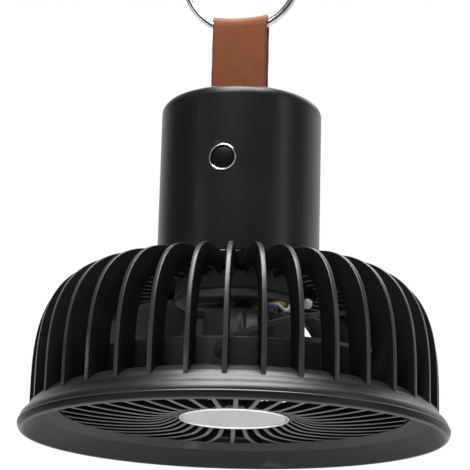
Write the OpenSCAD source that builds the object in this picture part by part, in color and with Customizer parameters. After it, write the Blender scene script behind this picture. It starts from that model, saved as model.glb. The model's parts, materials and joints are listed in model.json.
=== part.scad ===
// Portable camping fan that hangs by a split ring and a leather strap.
// It blows down through a funnel grille and draws air in between upright fins.
// Units are millimetres. Z is up, the axis of the fan is Z, and Z = 0 is the
// plane of the rim's flat lip, on which the fan stands when it is put down.
// The side with the push button is the front, towards -Y.

/* [Rim and cage] */
// Outer diameter of the rim bead
rim_d = 160; // [150:0.5:176]
// Height of the plane where the rim bead is widest
bead_z = 2.2; // [2:0.1:3]
// Height of the seam between the cage and the front grille
seam_z = 3.8; // [3.4:0.1:5]
// Radial step from the rim bead in to the fins' outer edges
fin_step = 4.2; // [3.5:0.1:6]
// Height at which the fins' outer edges leave the flare
fin_foot_z = 9.4; // [9:0.1:12]
// Height of the fins' flat tops
dome_z = 63; // [61:0.5:66]
// Number of fins, and of grille ribs
fin_count = 36; // [24:4:40]
// Thickness of a fin
fin_t = 1.8; // [1.2:0.1:2.2]
// Depth of a fin, from its outer edge to its inner edge
fin_depth = 10; // [8:0.5:11]
// Fullness of the dome: 2 is an ellipse, higher is squarer
dome_power = 3.2; // [2.4:0.1:4]

/* [Front grille] */
// Radial step from the rim bead in to the duct wall's inner side
duct_step = 17.4; // [16.8:0.1:19]
// Wall of the duct
duct_wall = 1.8; // [1.4:0.1:2.2]
// Height of the top of the duct wall
duct_top_z = 24.5; // [20:0.5:28]
// Radial step from the duct wall in to the ends of the open slots
slot_step = 3.1; // [1.5:0.1:6]
// Height of a rib's lowest point
rib_crest_z = 5.4; // [4.8:0.1:6.5]
// Radius of that lowest point
rib_crest_r = 32; // [29:1:38]
// Width of a rib
rib_w = 1.8; // [1.2:0.1:2]
// Depth of a rib along Z
rib_h = 2.6; // [2:0.1:3]
// Radius of the grille's hub
grille_hub_r = 22.5; // [21.5:0.5:24]
// Turn of the ribs against the fins, in degrees
rib_turn = 3.4; // [0:0.2:9]

/* [Housing] */
// Radial room between the neck cup and the housing, for the screws that join them
screw_room = 5; // [4.8:0.1:7]
// Height of the housing's lower edge
housing_z = 64.1; // [63.5:0.1:70]
// Wall of the housing
housing_wall = 2.2; // [1.8:0.1:2.6]
// Radius of the housing's rounded top edge
housing_round = 4; // [2:0.5:6]

/* [Strap and ring] */
// Width of the strap
strap_w = 21.4; // [18:0.2:24]
// Thickness of the leather
strap_t = 1.4; // [1:0.1:1.8]
// Gap between the strap's two legs
strap_gap = 2.8; // [2.7:0.1:4]
// Height of the strap's loop above the housing
strap_len = 38.2; // [30:0.5:60]
// Sideways place of the strap
strap_x = -1.2; // [-2:0.1:2]
// Outer diameter of the split ring
ring_d = 48; // [40:0.5:60]
// Radial width of the ring's wire
ring_wire_w = 2.3; // [1.8:0.1:3]
// Thickness of one turn of the wire along the ring's axis
ring_wire_t = 1.05; // [0.8:0.05:1.1]

/* [Button and port] */
// Diameter of the chrome bezel round the button
bezel_d = 10.4; // [9:0.2:13]
// Diameter of the button's cap
button_d = 8.4; // [6:0.2:8.6]
// Height of the button's axis
button_z = 99.3; // [90:0.5:108]
// How far the button is pressed
button_travel = 0.8; // [0.5:0.1:1]
// Width of the charging port's opening
port_w = 9; // [8.6:0.1:9.6]
// Height of the charging port's opening
port_h = 3.3; // [3.1:0.1:3.6]
// Height of the charging port's axis
port_z = 104; // [95:0.5:110]

/* [Battery and neck] */
// Diameter of a battery cell
cell_d = 18.4; // [18:0.1:18.6]
// Length of a battery cell
cell_len = 65; // [60:0.5:65]
// Radial room round the three cells in the neck cup
cell_room = 1.7; // [1:0.1:2.4]
// Space between the cells' upper ends and the clamp that holds the strap
cell_head = 2; // [1.8:0.1:12]
// Height of the neck cup's floor
neck_z = 51.8; // [51:0.2:53]
// Wall of the neck cup
neck_wall = 1.8; // [1.4:0.1:2]

/* [Motor and impeller] */
// Diameter of the motor's mounting plate
plate_d = 48; // [46:0.5:50]
// Thickness of the plate
plate_t = 3.4; // [2.6:0.1:3.6]
// Diameter of the motor's shaft
shaft_d = 3; // [2:0.1:4]
// Radial running clearance of the shaft in its bearings
shaft_fit = 0.03; // [0.01:0.01:0.08]
// Outer diameter of the rotor can
can_d = 36.8; // [32:0.2:37.2]
// Height of the rotor can
can_h = 16; // [14:0.5:17]
// Outer diameter of the impeller's hub
hub_d = 44; // [43.4:0.2:45]
// Height of the hub's lower face
hub_z = 21; // [19:0.5:23]
// Height of the hub's upper rim
hub_top_z = 44; // [42:0.5:45]
// Number of blades
blade_count = 5; // [3:1:7]
// Gap between the blades' tips and the duct wall
tip_gap = 2.2; // [1.2:0.1:6]
// Thickness of a blade
blade_t = 1.8; // [1.2:0.1:2.4]
// Height of a blade's leading edge, which is its upper one, at the tip
blade_top_z = 39.5; // [34:0.5:40]
// Height of a blade's trailing edge at the tip
blade_low_z = 20.5; // [15:0.5:22]

/* [Clearances] */
// Gap between parts that are assembled but don't move
seat_gap = 0.1; // [0.05:0.05:0.3]
// Gap between parts that move past each other
move_gap = 0.3; // [0.2:0.05:0.5]

/* [Hidden] */

$fn = 120;
eps = 0.01;

rim_r = rim_d / 2;
fin_r = rim_r - fin_step;
duct_r = rim_r - duct_step;
slot_r = duct_r - slot_step;
blade_r = duct_r - tip_gap;
pitch = 360 / fin_count;
cell_r = cell_d / 2;
cell_gap = 0.3;
cell_ring_r = (cell_d + cell_gap) / sqrt(3);
neck_in_r = cell_ring_r + cell_r + cell_room;
neck_r = neck_in_r + neck_wall;
housing_in_r = neck_r + screw_room;
housing_r = housing_in_r + housing_wall;
plate_r = plate_d / 2;
plate_top = neck_z - seat_gap;
plate_z = plate_top - plate_t;
hub_r = hub_d / 2;
can_r = can_d / 2;
hub_floor = 2.2;
can_z = hub_z + hub_floor + seat_gap;
shaft_r = shaft_d / 2;
neck_flange_t = 2;
cell_z = neck_z + neck_wall + seat_gap;
clamp_h = 3.4;
clamp_boss_h = 1.5;
clamp_top = cell_z + cell_len + cell_head + clamp_h;
top_under = clamp_top + seat_gap + clamp_boss_h;
top_wall = 2.6;
housing_top = top_under + top_wall;
screw_d = 1.9;
screw_hole_r = screw_d / 2 + 0.25;
thread_hole_r = screw_d / 2 + 0.03;

// ---- shapes used by several pieces ----

// A point of the dome's outline, from the housing (t = 0) out to the fin foot (t = 90)
function dome_point(t, r_in, r_out, z_low, z_top) = [
    r_in + (r_out - r_in) * pow(sin(t), 2 / dome_power),
    z_low + (z_top - z_low) * pow(cos(t), 2 / dome_power)
];

// A solid of revolution from an outline of [radius, height] points
module turned(outline) {
    rotate_extrude() polygon(outline);
}

// A plate in the plane of the axis, cut from an outline of [radius, height] points
module radial_plate(outline, t) {
    translate([0, t / 2, 0]) rotate([90, 0, 0]) linear_extrude(height = t) polygon(outline);
}

// A ring of copies, the first one turned by start from the front
module around(count, start = 0) {
    for (i = [0 : count - 1]) rotate([0, 0, -90 + start + i * 360 / count]) children();
}

module ring(r_out, r_in, h) {
    difference() {
        cylinder(r = r_out, h = h);
        translate([0, 0, -1]) cylinder(r = r_in, h = h + 2);
    }
}

// A pan-head screw, head up, with a cross recess. Its shank goes down from Z = 0.
module pan_screw(d, len) {
    difference() {
        union() {
            cylinder(r = d, h = d * 0.3, $fn = 36);
            translate([0, 0, d * 0.3]) cylinder(r1 = d, r2 = d * 0.6, h = d * 0.3, $fn = 36);
            translate([0, 0, -len]) cylinder(r = d / 2, h = len + eps, $fn = 36);
        }
        for (a = [0, 90])
            rotate([0, 0, a]) translate([-d * 0.55, -d * 0.1, d * 0.3]) cube([d * 1.1, d * 0.2, d]);
    }
}

// A tube along a list of points, as one closed mesh
function unit(v) = v / norm(v);
function tangent(p, i) = unit(p[min(i + 1, len(p) - 1)] - p[max(i - 1, 0)]);
function side(t) = unit(cross(t, [0.12, 0.2, 0.97]));
module tube(p, r, sides = 8) {
    n = len(p);
    pts = [
        for (i = [0 : n - 1])
            let (t = tangent(p, i), u = side(t), v = cross(t, u))
                for (k = [0 : sides - 1])
                    p[i] + r * (cos(k * 360 / sides) * u + sin(k * 360 / sides) * v)
    ];
    walls = [
        for (i = [0 : n - 2])
            for (k = [0 : sides - 1])
                let (a = i * sides + k, b = i * sides + (k + 1) % sides)
                    for (face = [[a, b, b + sides], [a, b + sides, a + sides]]) face
    ];
    first = [for (k = [1 : sides - 2]) [0, k + 1, k]];
    last_start = (n - 1) * sides;
    last = [for (k = [1 : sides - 2]) [last_start, last_start + k, last_start + k + 1]];
    polyhedron(points = pts, faces = [for (f = concat(walls, first, last)) [f[2], f[1], f[0]]]);
}

// ---- cage ----

collar_r_in = neck_r + move_gap;
collar_r_out = housing_r - 0.5;
collar_h = 5;
collar_low = dome_z - collar_h;
fin_in_r = fin_r - fin_depth;
fin_top_depth = 8.5;

// The flare's upper side, on which the fins stand
flare_top = fin_foot_z + 4.4;
flare_in_r = fin_r - 8.6;
flare_back = [
    [flare_in_r, flare_top],
    [fin_r - 7.6, flare_top],
    [fin_r - 4.4, fin_foot_z + 3.3],
    [fin_r - 1.6, fin_foot_z + 1.5],
    [fin_r - 0.1, fin_foot_z]
];

// Below the fins a steep cone runs down to a rounded shoulder at the seam
module cage_flare() {
    color("#1c1c1e") turned(concat(flare_back, [
        [rim_r - 2.9, seam_z + 2.8],
        [rim_r - 2.1, seam_z + 2.3],
        [rim_r - 1.2, seam_z + 1.5],
        [rim_r - 0.7, seam_z + 0.8],
        [rim_r - 0.55, seam_z + seat_gap],
        [rim_r - 2.6, seam_z + seat_gap],
        [rim_r - 3.1, seam_z + 0.9],
        [fin_r - 2.4, fin_foot_z - 1.2],
        [fin_r - 5.2, fin_foot_z + 1],
        [flare_in_r, fin_foot_z + 2.4]
    ]));
}

// The collar that the fins spring from. It is screwed to the housing.
module cage_collar() {
    color("#141416") difference() {
        translate([0, 0, collar_low]) ring(collar_r_out, collar_r_in, housing_z - seat_gap - collar_low);
        around(4, 45) translate([neck_screw_r, 0, collar_low - 1])
            cylinder(r = screw_hole_r, h = housing_z - collar_low + 2, $fn = 36);
    }
}

fin_steps = 15;
fin_outline = concat(
    [[collar_r_out - 1, dome_z - fin_top_depth], [collar_r_out - 1, dome_z]],
    [for (i = [0 : fin_steps]) dome_point(i * 90 / fin_steps, housing_r, fin_r, fin_foot_z + 1, dome_z)],
    [[fin_r, seam_z + 3], [fin_in_r, seam_z + 3]],
    [
        for (i = [fin_steps : -1 : 0])
            dome_point(i * 90 / fin_steps, housing_r, fin_in_r, fin_foot_z + 6, dome_z - fin_top_depth)
    ]
);

// The fins stand on the flare and end on the collar, and all are moulded together
module cage_fins() {
    color("#18181a") difference() {
        around(fin_count) radial_plate(fin_outline, fin_t);
        translate([0, 0, dome_z - fin_top_depth - 5]) cylinder(r = collar_r_out, h = fin_top_depth + 10);
        turned(concat(
            [[fin_in_r - 5, 0], [fin_in_r - 5, flare_top]],
            flare_back,
            [[rim_r, seam_z + 2], [rim_r, 0]]
        ));
    }
}

// ---- front grille ----

funnel_r = slot_r + 5;
rib_end_r = funnel_r + 1.5;
rib_rise_out = 3.1;
rib_rise_in = 2.4;

// Height of a rib's lower edge at radius r
function rib_low(r) = r > rib_crest_r
    ? rib_crest_z + rib_rise_out * pow((r - rib_crest_r) / (rib_end_r - rib_crest_r), 2)
    : rib_crest_z + rib_rise_in * pow((rib_crest_r - r) / (rib_crest_r - grille_hub_r), 2);

funnel_z = rib_low(funnel_r) + 0.5;
duct_out_r = duct_r + duct_wall;
duct_hole_r = 2.4;
duct_hole_turn = 8.2;
duct_hole_drop = 5.1;
groove_r = funnel_r + 0.7;
groove_depth = 1.2;

// The rim bead, the funnel and the duct wall are one ring-shaped moulding
grille_outline = [
    [rim_r - 2.6, 0],
    [rim_r - 1.4, 0],
    [rim_r - 0.6, bead_z * 0.35],
    [rim_r - 0.1, bead_z * 0.75],
    [rim_r, bead_z],
    [rim_r - 0.1, bead_z + 0.6],
    [rim_r - 0.4, seam_z - 0.15],
    [rim_r - 1.3, seam_z],
    [rim_r - 3.2, seam_z],
    [rim_r - 3.6, seam_z + 0.7],
    [fin_r - 2.7, fin_foot_z - 1.7],
    [fin_r - 5.6, fin_foot_z + 0.4],
    [duct_out_r, fin_foot_z + 1.9],
    [duct_out_r, duct_top_z],
    [duct_r, duct_top_z],
    [duct_r, funnel_z + rib_h],
    [slot_r, funnel_z + rib_h - 0.6],
    [slot_r, rib_low(slot_r) + 0.5],
    [funnel_r, funnel_z],
    [(funnel_r + rim_r) / 2 - 1, funnel_z * 0.72],
    [rim_r - 5, funnel_z * 0.3]
];

rib_steps = 10;
rib_outline = concat(
    [
        for (i = [0 : rib_steps])
            let (r = grille_hub_r - 1 + i * (funnel_r + 1 - grille_hub_r) / rib_steps) [r, rib_low(r)]
    ],
    [
        for (i = [rib_steps : -1 : 0])
            let (r = grille_hub_r - 1 + i * (funnel_r + 1 - grille_hub_r) / rib_steps)
                [r, rib_low(r) + rib_h]
    ]
);

hub_face_z = rib_low(grille_hub_r);
badge_seat_z = hub_face_z + 0.6;
badge_r = grille_hub_r - 1.7;

// Four hooks on the duct wall hold the grille in the cage's flare
module grille_hook() {
    translate([0, 2.5, 0]) rotate([90, 0, 0]) linear_extrude(height = 5) polygon([
        [duct_out_r - 0.4, flare_top - 1],
        [duct_out_r, flare_top - 1],
        [duct_out_r + 0.6, flare_top + 0.2],
        [fin_r - 7.4, flare_top + 0.2],
        [fin_r - 7.6, flare_top + 1],
        [duct_out_r, flare_top + 4],
        [duct_out_r - 0.4, flare_top + 4]
    ]);
}

module front_grille() {
    color("#232325") {
        difference() {
            union() {
                difference() {
                    turned(grille_outline);
                    // groove in the funnel that carries the slots between the ribs outward
                    turned([
                        [slot_r - 1, 0],
                        [groove_r, 0],
                        [groove_r, funnel_z + groove_depth],
                        [slot_r - 1, funnel_z + groove_depth]
                    ]);
                }
                around(fin_count, rib_turn) radial_plate(rib_outline, rib_w);
                turned([
                    [0, badge_seat_z],
                    [badge_r + seat_gap, badge_seat_z],
                    [badge_r + seat_gap, hub_face_z - 0.3],
                    [grille_hub_r, hub_face_z],
                    [grille_hub_r, hub_face_z + rib_h],
                    [grille_hub_r - 1.6, hub_face_z + rib_h],
                    [grille_hub_r - 2, badge_seat_z + 1.4],
                    [0, badge_seat_z + 1.4]
                ]);
                around(4, (floor(45 / pitch) + 0.5) * pitch) grille_hook();
            }
            // hole in the duct wall beside the front fin
            rotate([0, 0, -90 + duct_hole_turn]) translate([duct_r - 2, 0, duct_top_z - duct_hole_drop])
                rotate([0, 90, 0]) cylinder(r = duct_hole_r, h = duct_wall + 4, $fn = 48);
        }
    }
}

module badge_ring() {
    color("#d9dadc") turned([
        [badge_r - 1.4, badge_seat_z - seat_gap],
        [badge_r - 1.4, badge_seat_z - 1.3],
        [badge_r - 1.1, badge_seat_z - 1.7],
        [badge_r - 0.5, badge_seat_z - 1.8],
        [badge_r, badge_seat_z - 1.3],
        [badge_r, badge_seat_z - seat_gap]
    ]);
}

module badge_disc() {
    color("#a9aaab") {
        disc_r = badge_r - 1.4 - seat_gap;
        translate([0, 0, badge_seat_z - 1.4]) cylinder(r = disc_r, h = 1.4 - seat_gap);
    }
}

// ---- battery housing ----

strap_slot_w = strap_w + 2 * move_gap;
strap_slot_t = strap_gap + 2 * strap_t + 2 * move_gap;
boss_z = housing_z + neck_flange_t + seat_gap;
boss_len = 9;
screw_grip = 5;
boss_r = 3;
neck_screw_r = (neck_r + housing_in_r) / 2;
bezel_r = bezel_d / 2;

module housing_shell() {
    r0 = housing_r;
    c = housing_round;
    turned(concat(
        [[housing_in_r, housing_z], [r0 - 0.5, housing_z], [r0, housing_z + 0.5]],
        [for (a = [0 : 10 : 90]) [r0 - c + c * cos(a), housing_top - c + c * sin(a)]],
        [[0, housing_top], [0, top_under], [housing_in_r - 1, top_under], [housing_in_r, top_under - 1]]
    ));
}

// Turns a shape drawn along +Z so that it runs from y towards the front
module to_front(y, z, x = 0) {
    translate([x, y, z]) rotate([90, 0, 0]) children();
}

module port_outline(grow) {
    r = port_h / 2 + grow;
    for (s = [-1, 1]) translate([s * (port_w - port_h) / 2, 0]) circle(r = r, $fn = 48);
    translate([-(port_w - port_h) / 2, -r]) square([port_w - port_h, 2 * r]);
}

module battery_housing() {
    color("#1b1b1d") {
        difference() {
            union() {
                housing_shell();
                // screw bosses at the open end
                around(4, 45) translate([neck_screw_r, 0, boss_z]) cylinder(r = boss_r, h = boss_len);
                // two low bosses under the top for the strap's clamp
                for (s = [-1, 1])
                    translate([strap_x + s * clamp_screw_x, 0, top_under - clamp_boss_h])
                        cylinder(r = 2.6, h = clamp_boss_h + eps, $fn = 48);
                // four posts behind the button for the control board
                at_board_holes() cylinder(r = 1.9, h = housing_in_r + board_front_y + 0.5, $fn = 36);
            }
            around(4, 45) translate([neck_screw_r, 0, boss_z - 1])
                cylinder(r = thread_hole_r, h = boss_len, $fn = 36);
            // slot for the strap
            translate([strap_x - strap_slot_w / 2, -strap_slot_t / 2, top_under - 4])
                cube([strap_slot_w, strap_slot_t, 10]);
            for (s = [-1, 1])
                translate([strap_x + s * clamp_screw_x, 0, top_under - 4])
                    cylinder(r = thread_hole_r, h = 5.6, $fn = 36);
            at_board_holes() translate([0, 0, -1]) cylinder(r = thread_hole_r, h = 3.6, $fn = 36);
            to_front(-housing_in_r + 3, button_z) cylinder(r = bezel_r - 0.4, h = 20);
            // charging port at the back
            translate([0, housing_in_r - 3, port_z]) rotate([-90, 0, 0]) linear_extrude(height = 20)
                port_outline(0.15);
        }
    }
}

// ---- strap, its clamp and the split ring ----

clamp_screw_x = strap_w / 2 + 4;
clamp_floor = 1;
tail_len = clamp_h - clamp_floor - seat_gap;

// A bar under the housing's top, with a slot on either side of a rib for the strap's two tails
module strap_clamp() {
    color("#2b2b2e") {
        difference() {
            translate([strap_x - clamp_screw_x - 3, -leg_y - strap_t - 1.6, clamp_top - clamp_h])
                cube([2 * clamp_screw_x + 6, 2 * (leg_y + strap_t + 1.6), clamp_h]);
            for (s = [-1, 1])
                translate([
                    strap_x - strap_w / 2 - seat_gap,
                    s * (leg_y + strap_t / 2) - strap_t / 2 - seat_gap / 2,
                    clamp_top - clamp_h + clamp_floor
                ])
                    cube([strap_w + 2 * seat_gap, strap_t + seat_gap, clamp_h]);
            for (s = [-1, 1])
                translate([strap_x + s * clamp_screw_x, 0, clamp_top - clamp_h - 1])
                    cylinder(r = screw_hole_r, h = clamp_h + 2, $fn = 36);
        }
    }
}

module clamp_screws() {
    color("#b9babd")
        for (s = [-1, 1])
            translate([strap_x + s * clamp_screw_x, 0, clamp_top - clamp_h - seat_gap / 2])
                mirror([0, 0, 1]) pan_screw(screw_d, clamp_h + clamp_boss_h + 1.4);
}

leg_y = strap_gap / 2;
strap_root_z = housing_top + move_gap;
strap_hinge_z = strap_root_z + leg_y + strap_t;
strap_top_z = housing_top + strap_len;

// The strap's two ends, held in the slot by the clamp
module strap_tails() {
    color("#8a5236")
        for (s = [-1, 1])
            translate([strap_x - strap_w / 2, s * (leg_y + strap_t / 2) - strap_t / 2, clamp_top - tail_len])
                cube([strap_w, strap_t, housing_top - clamp_top + tail_len]);
}

// The strap's free loop, closed over the ring. Its lower end turns about the slot's mouth.
fold_z = strap_top_z - leg_y - strap_t;
module strap_section(r) {
    for (z = [strap_hinge_z, fold_z]) translate([0, z]) circle(r = r, $fn = 64);
    translate([-r, strap_hinge_z]) square([2 * r, fold_z - strap_hinge_z]);
}

module leather_strap() {
    color("#8a5236") translate([strap_x - strap_w / 2, 0, 0]) rotate([90, 0, 90])
        linear_extrude(height = strap_w) difference() {
            strap_section(leg_y + strap_t);
            strap_section(leg_y);
        }
}

ring_r = ring_d / 2;
ring_in_r = ring_r - ring_wire_w;
ring_mid_r = ring_r - ring_wire_w / 2;
ring_step = ring_wire_t + 0.12;
ring_half_t = (ring_step + ring_wire_t) / 2;
// The wire touches the fold at the strap's two edges, where it stands highest in the loop
wire_top_z = fold_z + sqrt(leg_y * leg_y - ring_half_t * ring_half_t) - move_gap;
ring_z = wire_top_z + sqrt(ring_in_r * ring_in_r - strap_w * strap_w / 4);

// The wire is one flat strip wound twice round. It steps across from one turn to the
// next over a short arc, which lies beside the two cut ends.
ring_start = 52;
ring_cross = 40;
function ring_side(a) =
    a < 360 - ring_cross / 2 ? -1
    : a > 360 + ring_cross / 2 ? 1
    : sin((a - 360) * 180 / ring_cross);
ring_turn_steps = 44;
ring_section = [
    [-1, -0.55], [-0.8, -1], [0.8, -1], [1, -0.55], [1, 0.55], [0.8, 1], [-0.8, 1], [-1, 0.55]
];

module split_ring() {
    n = ring_turn_steps * 2;
    m = len(ring_section);
    a_first = ring_cross / 2 + 1;
    a_last = 720 - ring_cross / 2 - 1;
    pts = [
        for (i = [0 : n])
            let (
                a = a_first + (a_last - a_first) * i / n,
                y = ring_side(a) * ring_step / 2,
                w = ring_start + a
            )
                for (c = ring_section)
                    let (r = ring_mid_r + c[0] * ring_wire_w / 2)
                        [strap_x + r * cos(w), y + c[1] * ring_wire_t / 2, ring_z + r * sin(w)]
    ];
    walls = [
        for (i = [0 : n - 1])
            for (k = [0 : m - 1])
                let (a = i * m + k, b = i * m + (k + 1) % m)
                    for (face = [[a, b, b + m], [a, b + m, a + m]]) face
    ];
    first = [for (k = [1 : m - 2]) [0, k + 1, k]];
    last = [for (k = [1 : m - 2]) [n * m, n * m + k, n * m + k + 1]];
    faces = [for (f = concat(walls, first, last)) [f[2], f[1], f[0]]];
    color("#c9cbce") polyhedron(points = pts, faces = faces);
}

// ---- button, boards and port ----

bezel_front_y = -housing_r - 0.5;
button_hole_r = button_d / 2 + move_gap;
board_front_y = -housing_in_r + 4.6;
board_t = 1.2;
button_len = 4.4;
flange_t = 0.8;
button_back_y = bezel_front_y + button_len;
bezel_back_y = button_back_y - flange_t - seat_gap;
switch_h = board_front_y - button_back_y - button_travel - 0.05;

module button_bezel() {
    depth = bezel_back_y - bezel_front_y;
    color("#d9dadc") to_front(bezel_back_y, button_z) turned([
        [button_hole_r, 0],
        [bezel_r - 0.4 - seat_gap / 2, 0],
        [bezel_r - 0.4 - seat_gap / 2, depth - 0.42],
        [bezel_r, depth - 0.42],
        [bezel_r, depth - 0.2],
        [bezel_r - 0.25, depth],
        [button_hole_r + 0.15, depth],
        [button_hole_r, depth - 0.2]
    ]);
}

// The cap, with a flange behind the bezel that keeps it from falling out
module power_button() {
    color("#141416") to_front(button_back_y, button_z) turned([
        [0, 0],
        [button_d / 2 + 0.7, 0],
        [button_d / 2 + 0.7, flange_t],
        [button_d / 2, flange_t],
        [button_d / 2, button_len - 0.9],
        [button_d / 2 - 0.4, button_len - 0.5],
        [0, button_len - 0.3]
    ]);
}

module tact_switch() {
    color("#c8c4bc") to_front(board_front_y, button_z) {
        body_h = switch_h * 0.55;
        translate([-2.6, -2.6, 0]) cube([5.2, 5.2, body_h]);
        cylinder(r = 1.6, h = switch_h, $fn = 48);
    }
}

board_w = 22;
board_h = 34;
board_z = button_z - board_h * 0.6;
board_hole_x = board_w / 2 - 2.6;
board_hole_in = 2.6;

// The board's four screw points, facing the front
module at_board_holes() {
    for (x = [-board_hole_x, board_hole_x])
        for (z = [board_z + board_hole_in, board_z + board_h - board_hole_in])
            to_front(board_front_y, z, x) children();
}

module control_board() {
    color("#1f6b3a") {
        difference() {
            translate([-board_w / 2, board_front_y, board_z]) cube([board_w, board_t, board_h]);
            at_board_holes() translate([0, 0, -3]) cylinder(r = screw_hole_r, h = 5, $fn = 36);
        }
        // coil and control chip on the inner face
        translate([-6, board_front_y + board_t - eps, button_z - 10]) cube([6, 1.6, 6]);
        translate([3, board_front_y + board_t - eps, button_z - 8]) cube([5, 1, 4]);
    }
}

module board_screws() {
    color("#b9babd") at_board_holes() translate([0, 0, -board_t - seat_gap / 2])
        mirror([0, 0, 1]) pan_screw(screw_d, board_t + 2.2);
}

port_len = 7.3;
port_mouth_y = housing_r - 0.4;
port_y = port_mouth_y - port_len;
module charge_port() {
    color("#b9babd") translate([0, port_y, port_z]) rotate([-90, 0, 0]) {
        difference() {
            linear_extrude(height = port_len) port_outline(0);
            translate([0, 0, 1]) linear_extrude(height = port_len) port_outline(-0.3);
        }
        translate([-(port_w - port_h) / 2, -0.35, 0.5]) cube([port_w - port_h, 0.7, port_len - 1.6]);
    }
}

charge_board_w = 16;
module charge_board() {
    color("#1f6b3a") {
        translate([-charge_board_w / 2, port_y - 2, port_z - port_h / 2 - seat_gap - board_t])
            cube([charge_board_w, port_len - 1.6, board_t]);
        for (s = [-1, 1])
            translate([s * 5 - 1, port_y - 1.6, port_z - port_h / 2 - seat_gap - eps]) cube([2, 1, 0.8]);
    }
}

// ---- battery cells and neck ----

module battery_cell(i) {
    color("#2f6fb0") rotate([0, 0, -90 + 60 + i * 120]) translate([cell_ring_r, 0, cell_z]) turned([
        [0, 0],
        [cell_r - 0.4, 0],
        [cell_r, 0.4],
        [cell_r, cell_len - 1.6],
        [cell_r - 0.6, cell_len - 1],
        [cell_r * 0.45, cell_len - 1],
        [cell_r * 0.4, cell_len],
        [0, cell_len]
    ]);
}
module battery_cell_1() { battery_cell(0); }
module battery_cell_2() { battery_cell(1); }
module battery_cell_3() { battery_cell(2); }

cap_h = 5;
cap_wall = 1.4;
cap_z = cell_z + cell_len - cap_h - 2;
module cell_cap() {
    color("#3a3a3e") difference() {
        union() {
            for (i = [0 : 2])
                rotate([0, 0, -30 + i * 120]) translate([cell_ring_r, 0, cap_z])
                    cylinder(r = cell_r + cap_wall, h = cap_h);
            translate([0, 0, cap_z]) cylinder(r = cell_ring_r, h = cap_h);
        }
        for (i = [0 : 2])
            rotate([0, 0, -30 + i * 120]) translate([cell_ring_r, 0, cap_z - 1])
                cylinder(r = cell_r + seat_gap, h = cap_h + 2);
        // notches that let the boards' leads pass
        for (a = [-90, 30, 150])
            rotate([0, 0, a]) translate([cell_ring_r + 6, -2, cap_z - 1]) cube([10, 4, cap_h + 2]);
    }
}

module neck_cup() {
    color("#3b3b3f") difference() {
        union() {
            turned([
                [0, neck_z],
                [neck_r - 0.8, neck_z],
                [neck_r, neck_z + 0.8],
                [neck_r, housing_z],
                [housing_in_r - move_gap, housing_z],
                [housing_in_r - move_gap, housing_z + neck_flange_t],
                [neck_in_r, housing_z + neck_flange_t],
                [neck_in_r, neck_z + neck_wall],
                [0, neck_z + neck_wall]
            ]);
        }
        around(4, 45) translate([neck_screw_r, 0, housing_z - 1]) cylinder(r = screw_hole_r, h = 5, $fn = 36);
        translate([0, 0, neck_z - 1]) cylinder(r = 5, h = 5);
        for (s = [0 : 2])
            rotate([0, 0, plate_screw_turn + s * 120]) translate([plate_screw_r, 0, neck_z - 1])
                cylinder(r = 0.95, h = 5, $fn = 36);
        wire_slot(neck_z - 1, neck_wall + 2);
    }
}

// Screws that hold the cage and the neck to the housing
module neck_screws() {
    color("#b9babd") around(4, 45) translate([neck_screw_r, 0, collar_low - seat_gap / 2])
        mirror([0, 0, 1]) pan_screw(screw_d, boss_z + screw_grip - collar_low);
}

// ---- motor ----

plate_screw_r = plate_r / 2;
plate_screw_turn = 30;
bearing_r = 4;
bearing_h = 3;
tube_r = 5.4;
tube_low = can_z + 2.6;
stator_r = can_r - 3;
stator_z = can_z + 3.4;
stator_h = 9;
upper_bearing_z = plate_z + 0.3;
lower_bearing_z = tube_low + 0.3;

// The plate carries the tube on which the stator and both bearings sit
module motor_plate() {
    color("#4a4a4f") difference() {
        union() {
            turned([
                [0, plate_z],
                [plate_r - 0.6, plate_z],
                [plate_r, plate_z + 0.6],
                [plate_r, plate_top - 0.8],
                [plate_r - 0.8, plate_top],
                [0, plate_top]
            ]);
            translate([0, 0, tube_low]) cylinder(r = tube_r, h = plate_z - tube_low + eps);
            translate([0, 0, stator_z + stator_h]) {
                cylinder(r = tube_r + 1.4, h = plate_z - stator_z - stator_h + eps);
            }
        }
        translate([0, 0, tube_low - 1]) cylinder(r = shaft_r + 0.8, h = plate_top - tube_low + 2);
        translate([0, 0, tube_low - 1]) cylinder(r = bearing_r, h = bearing_h + 1.3);
        translate([0, 0, upper_bearing_z]) cylinder(r = bearing_r, h = plate_t + 1);
        for (s = [0 : 2])
            rotate([0, 0, plate_screw_turn + s * 120]) translate([plate_screw_r, 0, plate_z - 1])
                cylinder(r = screw_hole_r, h = plate_t + 2, $fn = 36);
        wire_slot(plate_z - 1, plate_t + 2);
    }
}

module plate_screws() {
    color("#b9babd") for (s = [0 : 2])
        rotate([0, 0, plate_screw_turn + s * 120]) translate([plate_screw_r, 0, plate_z - seat_gap])
            mirror([0, 0, 1]) pan_screw(screw_d, seat_gap + plate_t + neck_wall);
}

tooth_count = 9;
tooth_w = 3;
module stator_core() {
    color("#8d8f93") translate([0, 0, stator_z]) linear_extrude(height = stator_h) difference() {
        union() {
            circle(r = tube_r + 2);
            around(tooth_count) translate([tube_r + 1, -tooth_w / 2])
                square([stator_r - tube_r - 1.6, tooth_w]);
            intersection() {
                difference() {
                    circle(r = stator_r);
                    circle(r = stator_r - 1.4);
                }
                around(tooth_count) translate([0, -4]) square([stator_r + 2, 8]);
            }
        }
        circle(r = tube_r + seat_gap);
    }
}

coil_t = 1;
module stator_coils() {
    color("#b06a2c") around(tooth_count) translate([tube_r + 2.6, 0, stator_z]) difference() {
        coil_len = stator_r - 1.4 - tube_r - 2.6 - 0.4;
        translate([0, -tooth_w / 2 - coil_t, -coil_t])
            cube([coil_len, tooth_w + 2 * coil_t, stator_h + 2 * coil_t]);
        translate([-1, -tooth_w / 2 - 0.02, -0.02]) cube([coil_len + 2, tooth_w + 0.04, stator_h + 0.04]);
    }
}

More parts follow.
